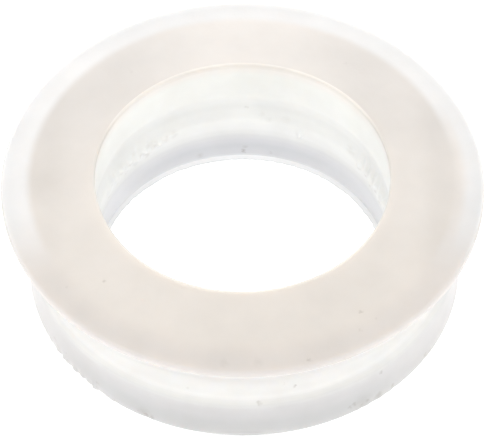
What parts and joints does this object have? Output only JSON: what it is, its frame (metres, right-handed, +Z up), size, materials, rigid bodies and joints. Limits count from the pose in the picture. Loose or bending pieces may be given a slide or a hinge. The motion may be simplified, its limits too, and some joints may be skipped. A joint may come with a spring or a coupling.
{
  "type": "storz coupling gasket",
  "caption": "Moulded silicone ring gasket with a wide falling sealing face, a thin outer lip, a gripping groove below it and a straight foot round a through bore.",
  "frame": {"origin": "centre of the foot's flat underside, on the bore's axis", "axes": "+Z up along the bore's axis, from the foot towards the sealing face; the ring is the same all round, so +X and +Y are any two perpendicular radii"},
  "size_m": [0.031, 0.031, 0.0093],
  "materials": {
    "silicone": "translucent off-white silicone, satin"
  },
  "bodies": {
    "root": {"gasket_ring": "silicone"}
  },
  "joints": []
}
